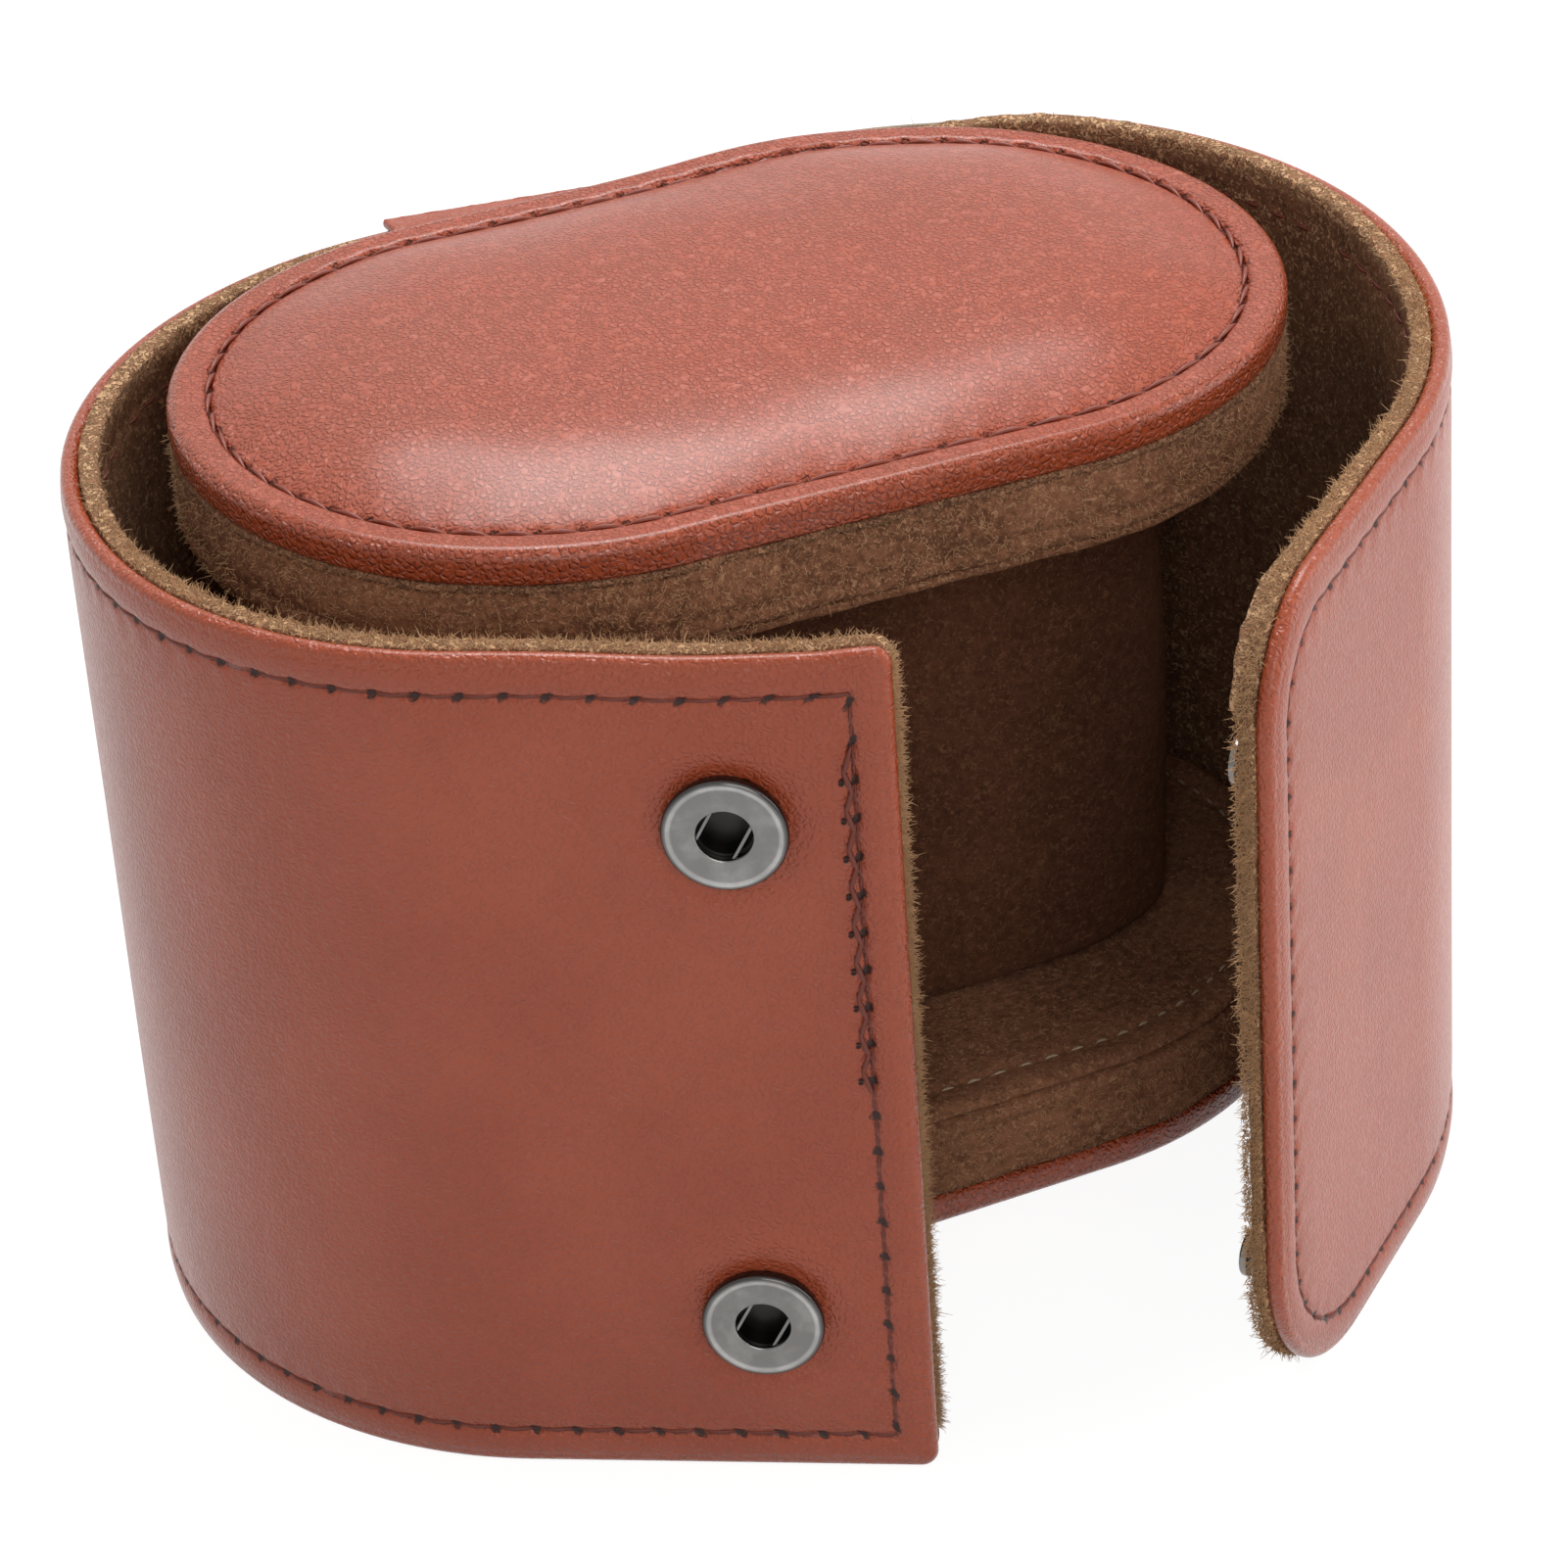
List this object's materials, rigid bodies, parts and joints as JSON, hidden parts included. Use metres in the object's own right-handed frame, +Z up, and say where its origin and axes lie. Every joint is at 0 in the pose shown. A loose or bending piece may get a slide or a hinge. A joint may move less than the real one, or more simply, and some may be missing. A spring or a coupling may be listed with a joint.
{
  "type": "watch travel case",
  "caption": "Oval leather travel case for a wristwatch: a wrap-around wall closed by snap studs, hinged padded end caps and a suede pillow for the strap.",
  "frame": {"origin": "middle of the back wall's bottom edge, which the case stands on", "axes": "+X along the case's length to the right, -Y out of the front opening, +Z up"},
  "size_m": [0.1252, 0.1058, 0.0907],
  "materials": {
    "leather": "reddish tan smooth-grain leather, satin",
    "tab_leather": "reddish tan leather strip, satin",
    "suede": "golden brown suede, fuzzy nap",
    "board": "grey-brown bookbinding board",
    "foam": "cream upholstery foam",
    "snap_metal": "black nickel plated steel, polished"
  },
  "bodies": {
    "back": {"back_leather": "leather", "back_board": "board", "back_lining": "suede", "top_tab_wrap_half": "tab_leather", "bottom_tab_wrap_half": "tab_leather"},
    "left_rear": {"left_rear_leather": "leather", "left_rear_board": "board", "left_rear_lining": "suede"},
    "left_front": {"left_front_leather": "leather", "left_front_board": "board", "left_front_lining": "suede"},
    "left_flap": {"left_flap_leather": "leather", "left_flap_board": "board", "left_flap_lining": "suede", "socket_rings": "snap_metal", "socket_springs": "snap_metal", "socket_eyelets": "snap_metal"},
    "right_rear": {"right_rear_leather": "leather", "right_rear_board": "board", "right_rear_lining": "suede"},
    "right_front": {"right_front_leather": "leather", "right_front_board": "board", "right_front_lining": "suede"},
    "right_flap": {"right_flap_leather": "leather", "right_flap_board": "board", "right_flap_lining": "suede", "stud_heads": "snap_metal", "stud_rivets": "snap_metal"},
    "top_pad": {"top_pad_cover": "leather", "top_pad_foam": "foam", "top_pad_board": "board", "top_pad_band": "suede", "top_pad_core": "foam", "top_pad_disc": "suede", "top_tab_pad_half": "tab_leather"},
    "bottom_pad": {"bottom_pad_cover": "leather", "bottom_pad_foam": "foam", "bottom_pad_board": "board", "bottom_pad_band": "suede", "bottom_pad_core": "foam", "bottom_pad_disc": "suede", "bottom_tab_pad_half": "tab_leather"},
    "pillow": {"pillow_cover": "suede", "pillow_core": "foam", "pillow_ends": "suede"}
  },
  "joints": [
    {"name": "left_wrap_fold", "type": "hinge", "parent": "back", "child": "left_rear", "pos_m": [-0.0314, -0.00078, 0.0425], "axis": [0, 0, 1], "range_deg": [-32, 10.82]},
    {"name": "left_mid_fold", "type": "hinge", "parent": "left_rear", "child": "left_front", "pos_m": [-0.06274, -0.0415, 0.0425], "axis": [0, 0, 1], "range_deg": [-20.09, 6.77]},
    {"name": "left_flap_fold", "type": "hinge", "parent": "left_front", "child": "left_flap", "pos_m": [-0.04076, -0.07616, 0.0425], "axis": [0, 0, 1], "range_deg": [-36.54, 12.33]},
    {"name": "right_wrap_fold", "type": "hinge", "parent": "back", "child": "right_rear", "pos_m": [0.04868, -0.01283, 0.0425], "axis": [0, 0, -1], "range_deg": [-27, 13.35]},
    {"name": "right_mid_fold", "type": "hinge", "parent": "right_rear", "child": "right_front", "pos_m": [0.05635, -0.06625, 0.0425], "axis": [0, 0, -1], "range_deg": [-15.98, 7.86]},
    {"name": "right_flap_fold", "type": "hinge", "parent": "right_front", "child": "right_flap", "pos_m": [0.04189, -0.0838, 0.0425], "axis": [0, 0, -1], "range_deg": [-39.54, 19.51]},
    {"name": "top_pad_hinge", "type": "hinge", "parent": "back", "child": "top_pad", "pos_m": [0, -0.0012, 0.08605], "axis": [-1, 0, 0], "range_deg": [0, 110]},
    {"name": "bottom_pad_hinge", "type": "hinge", "parent": "back", "child": "bottom_pad", "pos_m": [0, -0.0019, 0.001], "axis": [1, 0, 0], "range_deg": [0, 100]},
    {"name": "pillow_slide", "type": "slide", "parent": "back", "child": "pillow", "axis": [0, -1, 0], "range_m": [-0.01, 0.011]}
  ],
  "couplings": [
    {"joint": "left_mid_fold", "follows": "left_wrap_fold", "ratio": 0.62477},
    {"joint": "left_flap_fold", "follows": "left_wrap_fold", "ratio": 1.1386},
    {"joint": "right_mid_fold", "follows": "right_wrap_fold", "ratio": 0.58801},
    {"joint": "right_flap_fold", "follows": "right_wrap_fold", "ratio": 1.4607}
  ]
}
